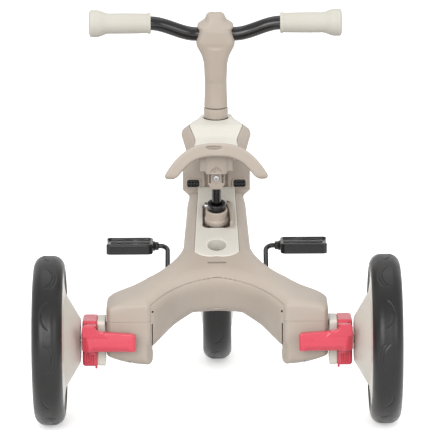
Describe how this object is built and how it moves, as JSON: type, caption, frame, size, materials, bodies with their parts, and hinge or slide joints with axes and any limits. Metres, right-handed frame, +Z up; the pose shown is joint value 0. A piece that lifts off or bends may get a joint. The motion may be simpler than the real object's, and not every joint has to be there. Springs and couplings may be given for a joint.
{
  "type": "children's tricycle",
  "caption": "Toddler tricycle with a moulded Y-frame, steered pedal-driven front wheel, quick-release rear wheel units, arched saddle on a clamped post and a rise handlebar.",
  "frame": {"origin": "on the floor, on the symmetry plane, midway between the front and rear axles", "axes": "+X to the rider's right, +Y forwards, +Z up"},
  "size_m": [0.545, 0.66, 0.5691],
  "materials": {
    "tan_plastic": "fine satin moulding grain",
    "cream_plastic": "smooth satin gloss",
    "tyre_rubber": "solid tyre, soft sheen",
    "red_plastic": "smooth satin gloss",
    "black_plastic": "smooth gloss",
    "black_bar": "gloss black paint",
    "cream_rubber": "soft matte grip",
    "steel": "zinc plated",
    "dark_nylon": "moulded nylon"
  },
  "bodies": {
    "frame": {"frame_top_shell": "tan_plastic", "frame_lower_shell": "tan_plastic", "frame_arch_wall": "tan_plastic", "spine_panel": "cream_plastic", "front_frame": "tan_plastic", "head_cover": "cream_plastic", "push_bar_socket": "cream_plastic", "frame_plugs": "black_plastic", "shell_screws": "steel", "head_tube": "steel", "headset_bushes": "dark_nylon", "seat_tube": "steel", "seat_collar": "tan_plastic", "clamp_bolt": "steel", "seat_bush": "black_plastic", "wheel_stub_left": "cream_plastic", "wheel_stub_right": "cream_plastic", "latch_band_left": "red_plastic", "latch_band_right": "red_plastic", "latch_pin_left": "steel", "latch_pin_right": "steel", "rear_axle_left": "steel", "rear_axle_right": "steel"},
    "steering": {"fork": "tan_plastic", "fork_bushes": "dark_nylon", "steerer_tube": "steel", "column_ring": "tan_plastic", "column_cover": "tan_plastic", "stem_head": "tan_plastic", "handlebar": "black_bar", "grip_left": "cream_rubber", "grip_right": "cream_rubber"},
    "front_wheel": {"front_tyre": "tyre_rubber", "front_disc_left": "cream_plastic", "front_disc_right": "cream_plastic", "front_hub_sleeve": "dark_nylon"},
    "crank_left": {"crank_left": "black_bar"},
    "crank_right": {"crank_right": "black_bar"},
    "pedal_left": {"pedal_left": "black_plastic"},
    "pedal_right": {"pedal_right": "black_plastic"},
    "saddle": {"saddle_shell": "tan_plastic", "saddle_bracket": "tan_plastic", "saddle_clamp": "tan_plastic", "saddle_bolt": "steel", "seat_post": "black_bar"},
    "seat_lever": {"seat_lever": "tan_plastic"},
    "rear_wheel_left": {"rear_tyre_left": "tyre_rubber", "rear_disc_inner_left": "cream_plastic", "rear_disc_outer_left": "cream_plastic", "rear_hub_bushes_left": "dark_nylon", "rear_hub_cap_left": "cream_plastic"},
    "latch_left": {"latch_lever_left": "red_plastic"},
    "rear_wheel_right": {"rear_tyre_right": "tyre_rubber", "rear_disc_inner_right": "cream_plastic", "rear_disc_outer_right": "cream_plastic", "rear_hub_bushes_right": "dark_nylon", "rear_hub_cap_right": "cream_plastic"},
    "latch_right": {"latch_lever_right": "red_plastic"}
  },
  "joints": [
    {"name": "steer", "type": "hinge", "parent": "frame", "child": "steering", "pos_m": [0, 0.204, 0.126], "axis": [0, -0.0872, 0.9962], "range_deg": [-40, 40]},
    {"name": "front_wheel_spin", "type": "hinge", "parent": "steering", "child": "front_wheel", "pos_m": [0, 0.204, 0.126], "axis": [1, 0, 0], "continuous": true},
    {"name": "saddle_height", "type": "slide", "parent": "frame", "child": "saddle", "axis": [0, -0.309, 0.9511], "range_m": [0, 0.04]},
    {"name": "seat_lever_swing", "type": "hinge", "parent": "frame", "child": "seat_lever", "pos_m": [0.017, -0.03095, 0.29371], "axis": [0, -0.309, 0.9511], "range_deg": [0, 100]},
    {"name": "crank_left_spin", "type": "hinge", "parent": "steering", "child": "crank_left", "pos_m": [0, 0.204, 0.126], "axis": [1, 0, 0], "continuous": true},
    {"name": "pedal_left_spin", "type": "hinge", "parent": "crank_left", "child": "pedal_left", "pos_m": [-0.14, 0.27257, 0.1672], "axis": [1, 0, 0], "continuous": true},
    {"name": "rear_wheel_left_spin", "type": "hinge", "parent": "frame", "child": "rear_wheel_left", "pos_m": [-0.249, -0.204, 0.126], "axis": [1, 0, 0], "continuous": true},
    {"name": "latch_left_swing", "type": "hinge", "parent": "frame", "child": "latch_left", "pos_m": [-0.186, -0.243, 0.136], "axis": [0, 0, -1], "range_deg": [0, 45]},
    {"name": "crank_right_spin", "type": "hinge", "parent": "steering", "child": "crank_right", "pos_m": [0, 0.204, 0.126], "axis": [1, 0, 0], "continuous": true},
    {"name": "pedal_right_spin", "type": "hinge", "parent": "crank_right", "child": "pedal_right", "pos_m": [0.14, 0.27257, 0.1672], "axis": [1, 0, 0], "continuous": true},
    {"name": "rear_wheel_right_spin", "type": "hinge", "parent": "frame", "child": "rear_wheel_right", "pos_m": [0.249, -0.204, 0.126], "axis": [1, 0, 0], "continuous": true},
    {"name": "latch_right_swing", "type": "hinge", "parent": "frame", "child": "latch_right", "pos_m": [0.186, -0.243, 0.136], "axis": [0, 0, 1], "range_deg": [0, 45]}
  ]
}
